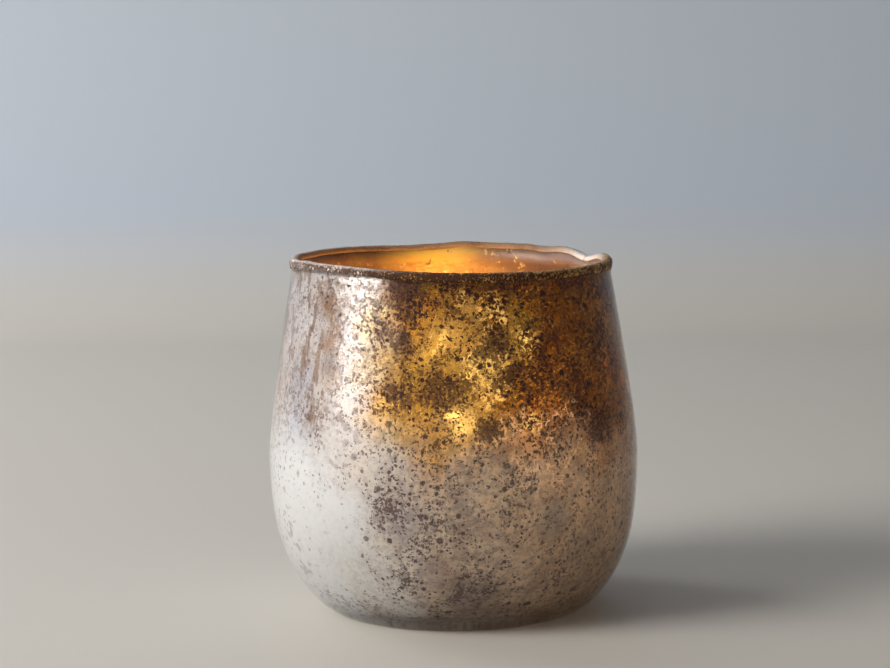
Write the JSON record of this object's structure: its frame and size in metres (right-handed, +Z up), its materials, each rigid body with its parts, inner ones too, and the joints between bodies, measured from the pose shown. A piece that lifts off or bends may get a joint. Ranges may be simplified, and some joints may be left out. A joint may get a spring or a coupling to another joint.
{
  "type": "tealight holder",
  "caption": "Rounded tumbler of spattered silvered glass with a gilded, slightly wavy rolled lip, holding a tealight that lifts out through the mouth.",
  "frame": {"origin": "centre of the foot, on the surface that the holder stands on", "axes": "+Z up along the vessel's axis; the pictured side faces -Y, with +X to its right"},
  "size_m": [0.096, 0.096, 0.0921],
  "materials": {
    "clear_glass": "clear, fire-polished",
    "spattered_silver": "satin silvering with brown and purple spatter, gold towards the lip",
    "bronze_lacquer": "warm satin lacquer",
    "gilt_bronze": "rough, granular dark bronze",
    "tealight_aluminium": "pressed, satin",
    "candle_wax": "translucent wax",
    "melted_wax": "wet, clear",
    "burnt_wick": "braided cotton, charred at the tip",
    "tinplate": "tinned",
    "candle_flame": "luminous gas, drawn only in the visual model"
  },
  "bodies": {
    "holder": {"glass_vessel": "clear_glass", "silver_coat": "spattered_silver", "backing_lacquer": "bronze_lacquer", "lip_gilding": "gilt_bronze"},
    "tealight": {"tealight_cup": "tealight_aluminium", "wax": "candle_wax", "melt_pool": "melted_wax", "wick": "burnt_wick", "wick_tab": "tinplate"}
  },
  "joints": [
    {"name": "tealight_lift", "type": "slide", "parent": "holder", "child": "tealight", "axis": [0, 0, 1], "range_m": [0, 0.1]}
  ]
}
